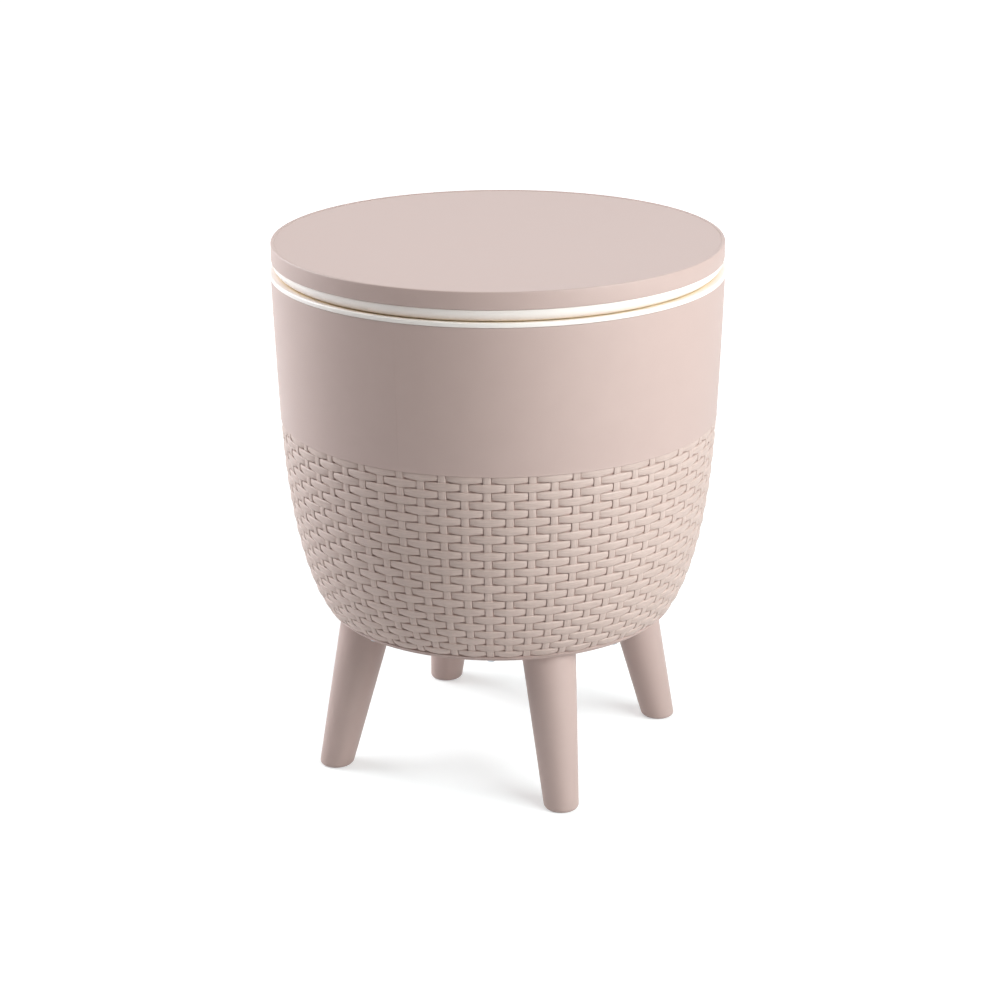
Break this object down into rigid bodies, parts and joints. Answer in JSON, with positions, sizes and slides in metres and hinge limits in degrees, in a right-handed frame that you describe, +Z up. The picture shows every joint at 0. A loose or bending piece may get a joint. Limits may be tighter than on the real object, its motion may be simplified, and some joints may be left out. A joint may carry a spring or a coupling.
{
  "type": "ice bucket coffee table",
  "caption": "Round outdoor side table whose top lifts off as the lid of an ice bucket, in a tapered shell with a moulded rattan weave below, on splayed round legs.",
  "frame": {"origin": "on the floor, under the middle of the table", "axes": "+Z up along the table's axis; the legs stand on the diagonals between the X and Y axes"},
  "size_m": [0.4226, 0.4226, 0.5056],
  "materials": {
    "taupe_plastic": "moulded satin polypropylene in a warm greige",
    "white_plastic": "moulded smooth polypropylene, warm white",
    "zinc_steel": "bright zinc plate",
    "seal_rubber": "black moulded rubber"
  },
  "bodies": {
    "table": {"liner": "white_plastic", "outer_shell": "taupe_plastic", "base_plate": "taupe_plastic", "base_screw_1": "zinc_steel", "base_screw_2": "zinc_steel", "base_screw_3": "zinc_steel", "base_screw_4": "zinc_steel", "base_screw_5": "zinc_steel", "base_screw_6": "zinc_steel", "base_screw_7": "zinc_steel", "base_screw_8": "zinc_steel", "leg_1": "taupe_plastic", "leg_2": "taupe_plastic", "leg_3": "taupe_plastic", "leg_4": "taupe_plastic", "leg_screw_1": "zinc_steel", "leg_screw_2": "zinc_steel", "leg_screw_3": "zinc_steel", "leg_screw_4": "zinc_steel", "drain_spout": "white_plastic", "drain_washer": "seal_rubber", "drain_nut": "white_plastic"},
    "lid": {"lid_top": "taupe_plastic", "lid_pan": "white_plastic", "lid_screw_1": "zinc_steel", "lid_screw_2": "zinc_steel", "lid_screw_3": "zinc_steel", "lid_screw_4": "zinc_steel", "lid_screw_5": "zinc_steel", "lid_screw_6": "zinc_steel"},
    "cap": {"drain_cap": "white_plastic"}
  },
  "joints": [
    {"name": "lid_lift", "type": "slide", "parent": "table", "child": "lid", "axis": [0, 0, 1], "range_m": [0, 0.15]},
    {"name": "drain_cap_off", "type": "slide", "parent": "table", "child": "cap", "axis": [0, 0, -1], "range_m": [0, 0.03]}
  ]
}
